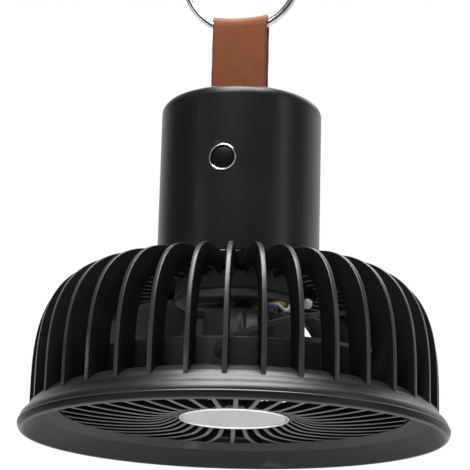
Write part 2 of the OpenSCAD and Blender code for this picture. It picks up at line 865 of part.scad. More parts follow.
module bearing(z) {
    color("#c9cbce") translate([0, 0, z]) difference() {
        cylinder(r = bearing_r, h = bearing_h);
        translate([0, 0, -1]) cylinder(r = shaft_r + shaft_fit, h = bearing_h + 2);
        for (s = [-0.4, bearing_h - 0.2]) translate([0, 0, s]) ring(bearing_r - 0.7, shaft_r + 0.9, 0.6);
    }
}
module upper_bearing() { bearing(upper_bearing_z); }
module lower_bearing() { bearing(lower_bearing_z); }

magnet_t = 1.6;
module magnet_ring() {
    color("#5d5a58") translate([0, 0, can_z + 2]) ring(can_r - 1, can_r - 1 - magnet_t, can_h - 3);
}

module rotor_can() {
    color("#9a9ca0") difference() {
        translate([0, 0, can_z]) cylinder(r = can_r, h = can_h);
        translate([0, 0, can_z + 1.2]) cylinder(r = can_r - 1, h = can_h);
        around(6) translate([can_r * 0.6, 0, can_z - 1]) cylinder(r = 2.4, h = 4, $fn = 36);
        translate([0, 0, can_z - 1]) cylinder(r = shaft_r, h = 4);
    }
}

shaft_low = hub_z - 5;
shaft_top = plate_top - 0.6;
module motor_shaft() {
    color("#c9cbce") turned([
        [0, shaft_low],
        [shaft_r - 0.3, shaft_low],
        [shaft_r, shaft_low + 0.3],
        [shaft_r, shaft_top - 0.3],
        [shaft_r - 0.3, shaft_top],
        [0, shaft_top]
    ]);
}

// ---- impeller ----

blade_span = 360 / blade_count * 0.86;
blade_root_top = hub_top_z - 3;
blade_root_low = hub_z + 1.5;
blade_rows = 8;
blade_cols = 10;
blade_sweep = 10;
blade_corner = 5;

// One point of a blade. u runs from the trailing edge to the leading edge,
// v from the hub to the tip, and face is +1 above and -1 below.
function blade_point(u, v, face) =
    let (
        s = 2 * u - 1,
        tip_r = blade_r - blade_corner * pow(s, 6),
        r = hub_r - 1 + (tip_r - hub_r + 1) * v,
        low = blade_root_low + (blade_low_z - blade_root_low) * v,
        top = blade_root_top + (blade_top_z - blade_root_top) * v,
        a = blade_sweep * v * v + s / 2 * blade_span,
        camber = 2.2 * sin(180 * u),
        edge = sqrt(1 - pow(0.96 * s, 6))
    )
        [r * cos(a), r * sin(a), (low + top) / 2 + (top - low) * s / 2 + camber + face * blade_t / 2 * edge];

module blade() {
    c = blade_cols;
    row = 2 * (c + 1);
    pts = [
        for (j = [0 : blade_rows])
            for (k = [0 : row - 1])
                k <= c
                    ? blade_point(k / c, j / blade_rows, 1)
                    : blade_point((row - 1 - k) / c, j / blade_rows, -1)
    ];
    walls = [
        for (j = [0 : blade_rows - 1])
            for (k = [0 : row - 1])
                let (a = j * row + k, b = j * row + (k + 1) % row)
                    for (face = [[a, b, b + row], [a, b + row, a + row]]) face
    ];
    last = blade_rows * row;
    ends = [
        for (k = [0 : c - 1])
            for (face = [[k + 1, k, row - 1 - k], [k + 1, row - 1 - k, row - 2 - k]]) face
    ];
    tips = [for (f = ends) [last + f[1], last + f[0], last + f[2]]];
    polyhedron(points = pts, faces = concat(walls, ends, tips));
}

module impeller() {
    color("#202022") {
        difference() {
            union() {
                turned([
                    [0, hub_z],
                    [hub_r - 3, hub_z],
                    [hub_r - 0.9, hub_z + 0.9],
                    [hub_r, hub_z + 3],
                    [hub_r, hub_top_z],
                    [hub_r - 1.6, hub_top_z],
                    [hub_r - 1.6, hub_z + hub_floor + 1],
                    [can_r + 1.2, hub_z + hub_floor + 1],
                    [can_r + 1.2, can_z + can_h * 0.6],
                    [can_r + seat_gap / 2, can_z + can_h * 0.6],
                    [can_r + seat_gap / 2, hub_z + hub_floor],
                    [0, hub_z + hub_floor]
                ]);
                around(blade_count, 20) blade();
            }
            translate([0, 0, hub_z - 1]) cylinder(r = shaft_r, h = 6);
        }
    }
}

module impeller_nut() {
    color("#c9cbce") translate([0, 0, hub_z - seat_gap - 3.2]) difference() {
        union() {
            cylinder(r = 3.2, h = 2.4, $fn = 6);
            translate([0, 0, 2.2]) cylinder(r = 3.6, h = 1);
        }
        translate([0, 0, -1]) cylinder(r = shaft_r, h = 6);
    }
}

// ---- wires between the motor and the boards ----

wire_r = 0.65;
coil_top = stator_z + stator_h + coil_t - plate_z;
wire_start_turn = 40;
wire_slot_turn = 98.5;
wire_slot_r = 2.2;
wire_ends = [plate_r - 6.6, plate_r - 4.9, plate_r - 8.3];

// The slot through which the wires pass the plate and the neck cup's floor
module wire_slot(z, h) {
    rotate([0, 0, -90 + wire_slot_turn]) hull()
        for (r = [plate_r - 8.1, plate_r - 5.1])
            translate([r, 0, z]) cylinder(r = wire_slot_r, h = h, $fn = 48);
}

// Each wire rises from a coil, runs out under the plate, hangs in a loop past its edge and
// goes back to the slot. Its points are [radius, height above the plate's lower face, turn].
function wire_path(start_r, points, end_r) = [
    for (p = concat(
        [[start_r, coil_top + move_gap, wire_start_turn]],
        points,
        [
            [end_r, 0.7, wire_slot_turn - 0.5],
            [end_r, 3, wire_slot_turn],
            [end_r, plate_t + neck_wall + 1.3, wire_slot_turn]
        ]
    ))
        [p[0] * cos(p[2] - 90), p[0] * sin(p[2] - 90), plate_z + p[1]]
];
yellow_run = [
    [tube_r + 4, -6, 40], [tube_r + 4.5, -2.4, 41], [plate_r - 12, -1.1, 43], [plate_r - 7, -0.95, 46.5],
    [plate_r - 2.5, -0.95, 48.5], [plate_r + 0.6, -1.05, 50], [plate_r + 1.9, -1.45, 52.5],
    [plate_r + 1.6, -1.5, 56], [plate_r - 0.6, -1.1, 59.5], [plate_r - 3.6, -0.95, 65],
    [plate_r - 5.3, -0.95, 76], [plate_r - 5.8, -0.95, 88], [plate_r - 6.3, -0.8, 95]
];
white_run = [
    [tube_r + 7.3, -6, 40], [tube_r + 7.9, -3.2, 40.3], [plate_r - 8.5, -2.2, 41.5],
    [plate_r - 4.5, -1.75, 43.5], [plate_r - 0.4, -1.65, 46], [plate_r + 2.2, -2.2, 48.5],
    [plate_r + 3.1, -3.7, 51], [plate_r + 3.1, -4.3, 54], [plate_r + 3, -3.4, 57], [plate_r + 2.6, -2.1, 60],
    [plate_r + 0.6, -1.2, 63.5], [plate_r - 2.1, -0.95, 69], [plate_r - 3.4, -0.95, 80],
    [plate_r - 4, -0.95, 90], [plate_r - 4.6, -0.7, 95]
];
purple_run = [
    [tube_r + 5.6, -6, 39.3], [tube_r + 6.1, -2.8, 37.5], [plate_r - 10, -1.4, 36], [plate_r - 5, -1.2, 36.5],
    [plate_r - 0.8, -1.7, 38.3], [plate_r + 1.4, -2.7, 40.5], [plate_r + 2.1, -3.4, 43.5],
    [plate_r + 1.4, -3.45, 47], [plate_r - 0.6, -3.35, 51], [plate_r - 3.6, -3.15, 56],
    [plate_r - 6, -2.7, 63], [plate_r - 7.1, -2.5, 74], [plate_r - 7.8, -2.3, 86], [plate_r - 8.2, -1.6, 94]
];

module yellow_wire() { color("#c9a81e") tube(wire_path(tube_r + 4, yellow_run, wire_ends[0]), wire_r); }
module white_wire() { color("#e4e4e2") tube(wire_path(tube_r + 7.2, white_run, wire_ends[1]), wire_r); }
module purple_wire() { color("#6a4a92") tube(wire_path(tube_r + 5.6, purple_run, wire_ends[2]), wire_r); }

// A white clip on the plate's edge, past the wires: a stem with a collar and a round head
clip_turn = 78;
clip_len = 4.6;
clip_head_r = 1.9;
clip_rise = 0.4;
module wire_clip() {
    color("#e4e4e2") rotate([0, 0, -90 + clip_turn])
        translate([plate_r + seat_gap, 0, plate_z + clip_rise]) rotate([0, 90, 0]) turned(concat(
            [
                [0, 0], [clip_head_r - 0.3, 0], [clip_head_r - 0.3, 0.8], [clip_head_r - 0.8, 1],
                [clip_head_r - 0.8, clip_len - 1.2], [clip_head_r - 0.1, clip_len - 1],
                [clip_head_r, clip_len - 0.8]
            ],
            [for (a = [0 : 15 : 90]) [clip_head_r * cos(a), clip_len + clip_head_r * sin(a)]]
        ));
}

battery_housing();
strap_clamp();
clamp_screws();
strap_tails();
leather_strap();
split_ring();
button_bezel();
power_button();
tact_switch();
control_board();
board_screws();
charge_port();
charge_board();
battery_cell_1();
battery_cell_2();
battery_cell_3();
cell_cap();
neck_cup();
neck_screws();
cage_flare();
cage_collar();
cage_fins();
front_grille();
badge_ring();
badge_disc();
motor_plate();
plate_screws();
stator_core();
stator_coils();
upper_bearing();
lower_bearing();
magnet_ring();
rotor_can();
motor_shaft();
impeller();
impeller_nut();
yellow_wire();
white_wire();
purple_wire();
wire_clip();
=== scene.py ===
"""The looks of the portable camping fan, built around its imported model."""
import json
import math

import bmesh
import bpy
from mathutils import Matrix, Vector

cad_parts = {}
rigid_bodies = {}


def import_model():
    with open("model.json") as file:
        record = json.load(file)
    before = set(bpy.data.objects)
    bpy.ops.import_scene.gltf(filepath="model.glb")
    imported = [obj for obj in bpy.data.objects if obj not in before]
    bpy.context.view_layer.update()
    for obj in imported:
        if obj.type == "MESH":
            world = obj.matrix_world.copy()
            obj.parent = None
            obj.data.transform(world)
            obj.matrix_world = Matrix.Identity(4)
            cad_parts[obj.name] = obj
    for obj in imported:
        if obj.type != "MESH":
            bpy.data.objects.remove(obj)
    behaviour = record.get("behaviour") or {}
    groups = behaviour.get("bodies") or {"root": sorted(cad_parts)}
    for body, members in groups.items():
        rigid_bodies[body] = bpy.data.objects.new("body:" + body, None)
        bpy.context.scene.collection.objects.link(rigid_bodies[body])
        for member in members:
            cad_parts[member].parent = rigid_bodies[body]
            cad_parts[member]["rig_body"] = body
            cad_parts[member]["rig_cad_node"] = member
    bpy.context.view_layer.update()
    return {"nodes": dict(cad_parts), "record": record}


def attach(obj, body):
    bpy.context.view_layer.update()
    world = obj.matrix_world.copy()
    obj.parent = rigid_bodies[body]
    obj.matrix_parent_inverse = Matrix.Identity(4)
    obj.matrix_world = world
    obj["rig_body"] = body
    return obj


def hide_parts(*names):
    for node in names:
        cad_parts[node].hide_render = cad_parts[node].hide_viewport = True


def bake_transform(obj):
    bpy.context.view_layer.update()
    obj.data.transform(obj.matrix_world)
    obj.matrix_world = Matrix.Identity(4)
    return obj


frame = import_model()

scene = bpy.context.scene
MM = 0.001
FULL_TURN = 2 * math.pi
nodes = frame["nodes"]

# The part's own sizes, in millimetres
RIM_R = 80.0
BEAD_Z = 2.2
SEAM_Z = 3.8
SEAT_GAP = 0.1
FIN_R = 75.8
FIN_FOOT_Z = 9.4
FIN_COUNT = 36
FIN_T = 1.8
FIN_IN_R = 65.8
FIN_TOP_DEPTH = 8.5
DOME_Z = 63.0
DOME_POWER = 3.2
COLLAR_R = 30.2
HOUSING_R = 30.7
FLARE_TOP = 13.8
FLARE_IN_R = 67.2
DUCT_R = 62.6
DUCT_OUT_R = 64.4
DUCT_TOP_Z = 24.5
DUCT_HOLE_TURN = 8.2
DUCT_HOLE_Z = 19.4
DUCT_HOLE_R = 2.4
SLOT_R = 59.5
FUNNEL_R = 64.5
GROOVE_R = 65.2
GROOVE_DEPTH = 1.2
RIB_CREST_Z = 5.4
RIB_CREST_R = 32.0
RIB_W = 1.8
RIB_H = 2.6
RIB_TURN = 3.4
GRILLE_HUB_R = 22.5
BADGE_R = 20.8
RIB_END_R = 66.0
RIB_RISE_OUT = 3.1
RIB_RISE_IN = 2.4
STRAP_X = -1.2
STRAP_W = 21.4
STRAP_T = 1.4
STRAP_LEG_Y = 2.1
STRAP_TAIL_Z = 122.0
STRAP_FOLD_Z = 163.7
STRAP_PULL_Z = 150.0
HOUSING_TOP = 128.3
HOUSING_ROUND = 4.0
BUTTON_LEVELS = (92.6, 93.2, 105.8, 106.4)
RING_Z = 183.14
RING_R = 24.0
RING_WIRE_W = 2.3
RING_WIRE_T = 1.05
RING_STEP = 1.17
RING_CROSSING = 40
RING_TURN = 319

# How the copies of CAD nodes are cleaned, in metres and degrees
MERGE_GAP = 2e-6
FLAT_ANGLE = 0.4


# ---- modelling helpers ----

def only(obj):
    """Leaves this object alone selected and active."""
    bpy.ops.object.select_all(action="DESELECT")
    obj.select_set(True)
    bpy.context.view_layer.objects.active = obj


def edit(obj, select="DESELECT"):
    only(obj)
    bpy.ops.object.mode_set(mode="EDIT")
    bpy.ops.mesh.select_mode(type="VERT")
    bpy.ops.mesh.select_all(action=select)


def leave():
    bpy.ops.object.mode_set(mode="OBJECT")


def apply_modifiers(obj):
    only(obj)
    for modifier in list(obj.modifiers):
        bpy.ops.object.modifier_apply(modifier=modifier.name)


def tidy_mesh(obj):
    """Merges doubles and turns every face outwards."""
    edit(obj, "SELECT")
    bpy.ops.mesh.remove_doubles(threshold=MERGE_GAP)
    bpy.ops.mesh.select_all(action="SELECT")
    bpy.ops.mesh.normals_make_consistent(inside=False)
    leave()


def shade(obj, angle=35):
    only(obj)
    bpy.ops.object.shade_smooth_by_angle(angle=math.radians(angle))


def bevel(obj, width, segments=2, angle=40):
    modifier = obj.modifiers.new("rounded_edges", "BEVEL")
    modifier.width = width * MM
    modifier.segments = segments
    modifier.limit_method = "ANGLE"
    modifier.angle_limit = math.radians(angle)
    modifier.use_clamp_overlap = True
    modifier.miter_outer = "MITER_ARC"
    apply_modifiers(obj)


def draw_line(name, points, closed):
    """A chain drawn by extruding one vertex from point to point. It stays in edit mode."""
    bpy.ops.object.select_all(action="DESELECT")
    bpy.ops.mesh.primitive_plane_add(size=MM, location=points[0])
    obj = bpy.context.object
    obj.name = obj.data.name = name
    bpy.ops.object.transform_apply(location=True, rotation=True, scale=True)
    bpy.ops.object.mode_set(mode="EDIT")
    bpy.ops.mesh.select_mode(type="VERT")
    bpy.ops.mesh.select_all(action="SELECT")
    bpy.ops.mesh.merge(type="CENTER")
    for a, b in zip(points, points[1:]):
        bpy.ops.mesh.extrude_region_move(TRANSFORM_OT_translate={"value": Vector(b) - Vector(a)})
    if closed:
        mesh = bmesh.from_edit_mesh(obj.data)
        mesh.verts.ensure_lookup_table()
        for v in mesh.verts:
            v.select = v.index in (0, len(points) - 1)
        bmesh.update_edit_mesh(obj.data)
        bpy.ops.mesh.edge_face_add()
    return obj


def section(outline, y=0.0):
    return [Vector((r, y, z)) * MM for r, z in outline]


def lathe(name, outline, closed=True, soften=0.3, steps=180, angle=35):
    """Turns an outline of (radius, height) once round the fan's axis, with its corners rounded first."""
    obj = draw_line(name, section(outline), closed)
    if soften:
        mesh = bmesh.from_edit_mesh(obj.data)
        for v in mesh.verts:
            v.select = len(v.link_edges) == 2
        bmesh.update_edit_mesh(obj.data)
        bpy.ops.mesh.bevel(offset=soften * MM, segments=3, affect="VERTICES", clamp_overlap=True)
    bpy.ops.mesh.select_all(action="SELECT")
    bpy.ops.mesh.spin(steps=steps, angle=FULL_TURN, center=(0, 0, 0), axis=(0, 0, 1))
    leave()
    tidy_mesh(obj)
    shade(obj, angle)
    return obj


def plate(name, outline, thickness, soften):
    """A flat plate in the plane of the axis, with rounded edges."""
    obj = draw_line(name, section(outline, -thickness / 2), True)
    bpy.ops.mesh.select_all(action="SELECT")
    bpy.ops.mesh.edge_face_add()
    bpy.ops.mesh.extrude_region_move(TRANSFORM_OT_translate={"value": (0, thickness * MM, 0)})
    leave()
    tidy_mesh(obj)
    bevel(obj, soften, 3)
    return obj


def copies_round(obj, count, start):
    """Copies a piece round the axis, the first at start degrees from the front, and joins the copies."""
    turned = []
    for i in range(count):
        copy = obj.copy()
        copy.data = obj.data.copy()
        scene.collection.objects.link(copy)
        copy.data.transform(Matrix.Rotation(math.radians(start - 90 + i * 360 / count), 4, "Z"))
        turned.append(copy)
    name = obj.name
    bpy.data.objects.remove(obj)
    bpy.ops.object.select_all(action="DESELECT")
    for copy in turned:
        copy.select_set(True)
    bpy.context.view_layer.objects.active = turned[0]
    bpy.ops.object.join()
    joined = bpy.context.object
    joined.name = joined.data.name = name
    shade(joined)
    return joined


def join(name, *parts):
    bpy.ops.object.select_all(action="DESELECT")
    for part in parts:
        part.select_set(True)
    bpy.context.view_layer.objects.active = parts[0]
    bpy.ops.object.join()
    joined = bpy.context.object
    joined.name = joined.data.name = name
    return joined


def softened(node, name, width, angle=35, levels=()):
    """A merged copy of a CAD node with rounded edges, cut through at some levels, to stand for that node."""
    source = nodes[node]
    obj = source.copy()
    obj.data = source.data.copy()
    obj.parent = None
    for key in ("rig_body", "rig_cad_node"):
        del obj[key]
    obj.name = obj.data.name = name
    obj.data.materials.clear()
    scene.collection.objects.link(obj)
    edit(obj, "SELECT")
    bpy.ops.mesh.remove_doubles(threshold=MERGE_GAP)
    bpy.ops.mesh.select_all(action="SELECT")
    bpy.ops.mesh.dissolve_limited(angle_limit=math.radians(FLAT_ANGLE))
    leave()
    if width:
        bevel(obj, width)
    for z in levels:
        edit(obj, "SELECT")
        bpy.ops.mesh.bisect(plane_co=(0, 0, z * MM), plane_no=(0, 0, 1))
        leave()
    shade(obj, angle)
    return obj


def true_round(obj, radius, top, rounding):
    """Sets the normals of a turned wall and of its rounded top edge to those of the exact round shape."""
    mesh = obj.data
    normals = [Vector(n.vector) for n in mesh.corner_normals]
    for face in mesh.polygons:
        outward = face.center.xy.normalized()
        height = face.center.z / MM
        on_wall = face.normal.xy.dot(outward) > 0.95 and face.center.xy.length > (radius - 0.3) * MM
        on_edge = height > top - rounding and face.normal.z > 0.02 and face.normal.xy.dot(outward) > 0.02
        if not on_wall and not on_edge:
            continue
        for loop in face.loop_indices:
            place = mesh.vertices[mesh.loops[loop].vertex_index].co / MM
            if place.xy.length < radius - rounding - 0.02:
                continue
            lift = min(max((place.z - top + rounding) / rounding, 0), 1)
            away = place.xy.normalized() * math.sqrt(1 - lift * lift)
            normals[loop] = Vector((away.x, away.y, lift))
    mesh.normals_split_custom_set(normals)


def dress(obj, material, body, slot, *replaced):
    """Gives a new piece its finish and its body, and hides the CAD nodes that it stands for."""
    obj.data.materials.clear()
    obj.data.materials.append(material)
    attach(obj, body)
    if replaced:
        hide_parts(*replaced)
    return obj


def finish_faces(obj, used, choose):
    """Gives a piece more than one finish: choose(face) is the one for a face."""
    obj.data.materials.clear()
    for finish in used:
        obj.data.materials.append(finish)
    for face in obj.data.polygons:
        face.material_index = used.index(choose(face))


# ---- camera, lamps and studio ----

def make_camera():
    data = bpy.data.cameras.new("studio_camera")
    data.sensor_width = 36
    data.lens = 153.14
    data.clip_start = 0.05
    data.clip_end = 20
    camera = bpy.data.objects.new("studio_camera", data)
    scene.collection.objects.link(camera)
    camera.matrix_world = (
        Matrix.Translation((0.1623, -0.7156, -0.1202))
        @ Matrix.Rotation(math.radians(12.89), 4, "Z")
        @ Matrix.Rotation(math.radians(105.09), 4, "X")
        @ Matrix.Rotation(math.radians(1.5), 4, "Z")
    )
    scene.camera = camera


def softbox(name, place, target, width, height, power):
    data = bpy.data.lights.new(name, "AREA")
    data.shape = "RECTANGLE"
    data.size = width
    data.size_y = height
    data.energy = power
    lamp = bpy.data.objects.new(name, data)
    scene.collection.objects.link(lamp)
    lamp.location = place
    lamp.rotation_euler = (Vector(target) - Vector(place)).to_track_quat("-Z", "Y").to_euler()
    lamp.visible_camera = False


def make_studio():
    softbox("overhead_box", (0.08, -0.25, 1.0), (0.04, -0.05, 0.04), 0.66, 0.8, 20.5)
    softbox("front_box", (-0.1, -0.78, 0.88), (0, 0, 0.04), 0.5, 0.3, 5)
    softbox("back_box", (0.1, 0.75, 0.75), (0, 0, 0.05), 0.9, 0.4, 2)
    softbox("left_box", (-0.68, -0.73, 0.1), (0, 0, 0.06), 0.2, 0.5, 0.5)
    softbox("right_box", (0.95, -0.25, 0.15), (0, 0, 0.06), 0.25, 0.9, 1.2)
    softbox("low_box", (0.1, -0.7, -0.75), (0, 0, 0.02), 0.7, 0.4, 2.2)

    bpy.ops.object.select_all(action="DESELECT")
    bpy.ops.mesh.primitive_plane_add(size=7, location=(0, 0, -0.5))
    floor = bpy.context.object
    floor.name = "studio_floor"
    material = bpy.data.materials.new("floor_paper")
    material.use_nodes = True
    tree = material.node_tree
    shader = tree.nodes["Principled BSDF"]
    shader.inputs["Roughness"].default_value = 0.9
    fibres = tree.nodes.new("ShaderNodeTexNoise")
    fibres.inputs["Scale"].default_value = 60
    tones = tree.nodes.new("ShaderNodeValToRGB")
    tones.color_ramp.elements[0].color = (0.86, 0.86, 0.86, 1)
    tones.color_ramp.elements[1].color = (0.92, 0.92, 0.915, 1)
    tree.links.new(fibres.outputs["Fac"], tones.inputs["Fac"])
    tree.links.new(tones.outputs["Color"], shader.inputs["Base Color"])
    floor.data.materials.append(material)


def make_world():
    """White for the camera, and a room that is bright behind and dim in front for what reflects it."""
    world = bpy.data.worlds.new("studio_world")
    scene.world = world
    world.use_nodes = True
    tree = world.node_tree
    tree.nodes.clear()
    link = tree.links.new
    output = tree.nodes.new("ShaderNodeOutputWorld")
    rays = tree.nodes.new("ShaderNodeLightPath")
    direction = tree.nodes.new("ShaderNodeTexCoord")
    split = tree.nodes.new("ShaderNodeSeparateXYZ")
    room = tree.nodes.new("ShaderNodeValToRGB")
    room.color_ramp.interpolation = "EASE"
    room.color_ramp.elements[0].position = 0.58
    room.color_ramp.elements[0].color = (0.06, 0.06, 0.06, 1)
    room.color_ramp.elements[1].position = 0.93
    room.color_ramp.elements[1].color = (1, 1, 1, 1)
    shift = tree.nodes.new("ShaderNodeMath")
    shift.operation = "MULTIPLY_ADD"
    shift.inputs[1].default_value = 0.5
    shift.inputs[2].default_value = 0.5
    link(direction.outputs["Generated"], split.inputs[0])
    link(split.outputs["Y"], shift.inputs[0])
    link(shift.outputs[0], room.inputs["Fac"])

    soft = tree.nodes.new("ShaderNodeBackground")
    soft.inputs["Color"].default_value = (1, 1, 1, 1)
    soft.inputs["Strength"].default_value = 0.36
    mirrored = tree.nodes.new("ShaderNodeBackground")
    link(room.outputs["Color"], mirrored.inputs["Color"])
    white = tree.nodes.new("ShaderNodeBackground")
    white.inputs["Color"].default_value = (1, 1, 1, 1)
    glossy = tree.nodes.new("ShaderNodeMixShader")
    link(rays.outputs["Is Glossy Ray"], glossy.inputs["Fac"])
    link(soft.outputs[0], glossy.inputs[1])
    link(mirrored.outputs[0], glossy.inputs[2])
    seen = tree.nodes.new("ShaderNodeMath")
    seen.operation = "MAXIMUM"
    link(rays.outputs["Is Camera Ray"], seen.inputs[0])
    link(rays.outputs["Is Transmission Ray"], seen.inputs[1])
    shown = tree.nodes.new("ShaderNodeMixShader")
    link(seen.outputs[0], shown.inputs["Fac"])
    link(glossy.outputs[0], shown.inputs[1])
    link(white.outputs[0], shown.inputs[2])
    link(shown.outputs[0], output.inputs["Surface"])


# ---- effects that several finishes share ----

def new_group(name, inputs, outputs):
    tree = bpy.data.node_groups.new(name, "ShaderNodeTree")
    for label, kind, value in inputs:
        tree.interface.new_socket(label, in_out="INPUT", socket_type=kind).default_value = value
    for label, kind in outputs:
        tree.interface.new_socket(label, in_out="OUTPUT", socket_type=kind)
    return tree, tree.nodes.new("NodeGroupInput"), tree.nodes.new("NodeGroupOutput")


def math_node(tree, operation, a, b, c=None):
    node = tree.nodes.new("ShaderNodeMath")
    node.operation = operation
    for socket, value in zip(node.inputs, (a, b, c)):
        if value is None:
            continue
        if isinstance(value, (int, float)):
            socket.default_value = value
        else:
            tree.links.new(value, socket)
    return node.outputs[0]


def mix_colour(tree, factor, a, b, blend="MIX"):
    node = tree.nodes.new("ShaderNodeMix")
    node.data_type = "RGBA"
    node.blend_type = blend
    for socket, value in zip((node.inputs["Factor"], node.inputs[6], node.inputs[7]), (factor, a, b)):
        if isinstance(value, (int, float, tuple)):
            socket.default_value = value
        else:
            tree.links.new(value, socket)
    return node.outputs[2]


def noise(tree, vector, scale, detail=3.0, roughness=0.5):
    node = tree.nodes.new("ShaderNodeTexNoise")
    tree.links.new(vector, node.inputs["Vector"])
    for label, value in (("Scale", scale), ("Detail", detail), ("Roughness", roughness)):
        if isinstance(value, (int, float)):
            node.inputs[label].default_value = value
        else:
            tree.links.new(value, node.inputs[label])
    return node.outputs["Fac"]


def make_skin_group():
    """Moulded or sprayed skin: a fine grain, and broad soft marks from handling."""
    tree, into, out = new_group(
        "fine_skin",
        [("Colour", "NodeSocketColor", (0.02, 0.02, 0.02, 1)), ("Roughness", "NodeSocketFloat", 0.4),
         ("Grain Scale", "NodeSocketFloat", 1800.0), ("Marks", "NodeSocketFloat", 0.3)],
        [("Colour", "NodeSocketColor"), ("Roughness", "NodeSocketFloat"), ("Height", "NodeSocketFloat")])
    place = tree.nodes.new("ShaderNodeTexCoord").outputs["Object"]
    grain = noise(tree, place, into.outputs["Grain Scale"], 4, 0.6)
    marks = noise(tree, place, 38.0, 3, 0.55)
    signed = math_node(tree, "SUBTRACT", marks, 0.5)
    strength = math_node(tree, "MULTIPLY", signed, into.outputs["Marks"])
    brighter = math_node(tree, "MULTIPLY_ADD", strength, 2.0, 1.0)
    fine = math_node(tree, "MULTIPLY_ADD", grain, 0.3, 0.85)
    level = math_node(tree, "MULTIPLY", brighter, fine)
    scale = tree.nodes.new("ShaderNodeVectorMath")
    scale.operation = "SCALE"
    tree.links.new(into.outputs["Colour"], scale.inputs[0])
    tree.links.new(level, scale.inputs["Scale"])
    tree.links.new(scale.outputs[0], out.inputs["Colour"])
    rough = math_node(tree, "MULTIPLY_ADD", grain, 0.08, into.outputs["Roughness"])
    tree.links.new(math_node(tree, "MULTIPLY_ADD", strength, 0.4, rough), out.inputs["Roughness"])
    tree.links.new(grain, out.inputs["Height"])
    return tree


def make_edge_wear_and_sheen_group():
    """Rubbed edges and painted edge highlights, which show a little lighter where a corner stands proud."""
    tree, into, out = new_group(
        "edge_wear_and_painted_sheen",
        [("Colour", "NodeSocketColor", (0.02, 0.02, 0.02, 1)),
         ("Edge Colour", "NodeSocketColor", (0.06, 0.06, 0.06, 1)), ("Amount", "NodeSocketFloat", 0.5)],
        [("Colour", "NodeSocketColor"), ("Mask", "NodeSocketFloat")])
    geometry = tree.nodes.new("ShaderNodeNewGeometry")
    place = tree.nodes.new("ShaderNodeTexCoord").outputs["Object"]
    sharp = tree.nodes.new("ShaderNodeMapRange")
    sharp.inputs["From Min"].default_value = 0.5
    sharp.inputs["From Max"].default_value = 0.62
    tree.links.new(geometry.outputs["Pointiness"], sharp.inputs["Value"])
    broken = math_node(tree, "MULTIPLY_ADD", noise(tree, place, 260.0, 4, 0.6), 0.8, 0.5)
    amount = math_node(tree, "MULTIPLY", sharp.outputs[0], into.outputs["Amount"])
    mask = math_node(tree, "MULTIPLY", amount, broken)
    tree.links.new(mask, out.inputs["Mask"])
    tree.links.new(mix_colour(tree, mask, into.outputs["Colour"], into.outputs["Edge Colour"]),
                   out.inputs["Colour"])
    return tree


def make_metal_group():
    """Plated or turned metal: fine scratches and a soft haze."""
    tree, into, out = new_group(
        "metal_marks",
        [("Colour", "NodeSocketColor", (0.7, 0.7, 0.7, 1)), ("Roughness", "NodeSocketFloat", 0.15),
         ("Scratch", "NodeSocketFloat", 0.3)],
        [("Colour", "NodeSocketColor"), ("Roughness", "NodeSocketFloat"), ("Height", "NodeSocketFloat")])
    place = tree.nodes.new("ShaderNodeTexCoord").outputs["Object"]
    mapping = tree.nodes.new("ShaderNodeMapping")
    mapping.inputs["Scale"].default_value = (1, 1, 14)
    tree.links.new(place, mapping.inputs["Vector"])
    scratch = noise(tree, mapping.outputs[0], 900.0, 5, 0.7)
    haze = noise(tree, place, 120.0, 3, 0.5)
    rough = math_node(tree, "MULTIPLY_ADD", haze, 0.1, into.outputs["Roughness"])
    tree.links.new(math_node(tree, "MULTIPLY_ADD", scratch, 0.06, rough), out.inputs["Roughness"])
    tone = math_node(tree, "MULTIPLY_ADD", haze, 0.16, 0.9)
    scale = tree.nodes.new("ShaderNodeVectorMath")
    scale.operation = "SCALE"
    tree.links.new(into.outputs["Colour"], scale.inputs[0])
    tree.links.new(tone, scale.inputs["Scale"])
    tree.links.new(scale.outputs[0], out.inputs["Colour"])
    tree.links.new(math_node(tree, "MULTIPLY", scratch, into.outputs["Scratch"]), out.inputs["Height"])
    return tree


skin = make_skin_group()
edge_wear_and_sheen = make_edge_wear_and_sheen_group()
metal = make_metal_group()


def start_material(name):
    material = bpy.data.materials.new(name)
    material.use_nodes = True
    return material, material.node_tree, material.node_tree.nodes["Principled BSDF"]


def use_group(tree, group, **values):
    node = tree.nodes.new("ShaderNodeGroup")
    node.node_tree = group
    for label, value in values.items():
        node.inputs[label.replace("_", " ")].default_value = value
    return node


def add_bump(tree, shader, height, distance, strength=0.5):
    node = tree.nodes.new("ShaderNodeBump")
    node.inputs["Distance"].default_value = distance * MM
    node.inputs["Strength"].default_value = strength
    tree.links.new(height, node.inputs["Height"])
    tree.links.new(node.outputs["Normal"], shader.inputs["Normal"])


def plastic(name, colour, roughness, grain=1800.0, depth=0.02, marks=0.3, edge=None, specular=0.5):
    material, tree, shader = start_material(name)
    finish = use_group(tree, skin, Colour=(*colour, 1), Roughness=roughness, Grain_Scale=grain, Marks=marks)
    colour_out = finish.outputs["Colour"]
    # Lighter convex edges: partly wear, partly a painted highlight, strongest on the cage fins.
    if edge:
        worn_and_lit_edges = use_group(tree, edge_wear_and_sheen, Edge_Colour=(*edge, 1), Amount=0.7)
        tree.links.new(colour_out, worn_and_lit_edges.inputs["Colour"])
        colour_out = worn_and_lit_edges.outputs["Colour"]
    tree.links.new(colour_out, shader.inputs["Base Color"])
    tree.links.new(finish.outputs["Roughness"], shader.inputs["Roughness"])
    shader.inputs["Specular IOR Level"].default_value = specular
    add_bump(tree, shader, finish.outputs["Height"], depth)
    return material


def metallic(name, colour, roughness, scratch=0.3, depth=0.01, metalness=1.0):
    material, tree, shader = start_material(name)
    finish = use_group(tree, metal, Colour=(*colour, 1), Roughness=roughness, Scratch=scratch)
    tree.links.new(finish.outputs["Colour"], shader.inputs["Base Color"])
    tree.links.new(finish.outputs["Roughness"], shader.inputs["Roughness"])
    shader.inputs["Metallic"].default_value = metalness
    add_bump(tree, shader, finish.outputs["Height"], depth)
    return material


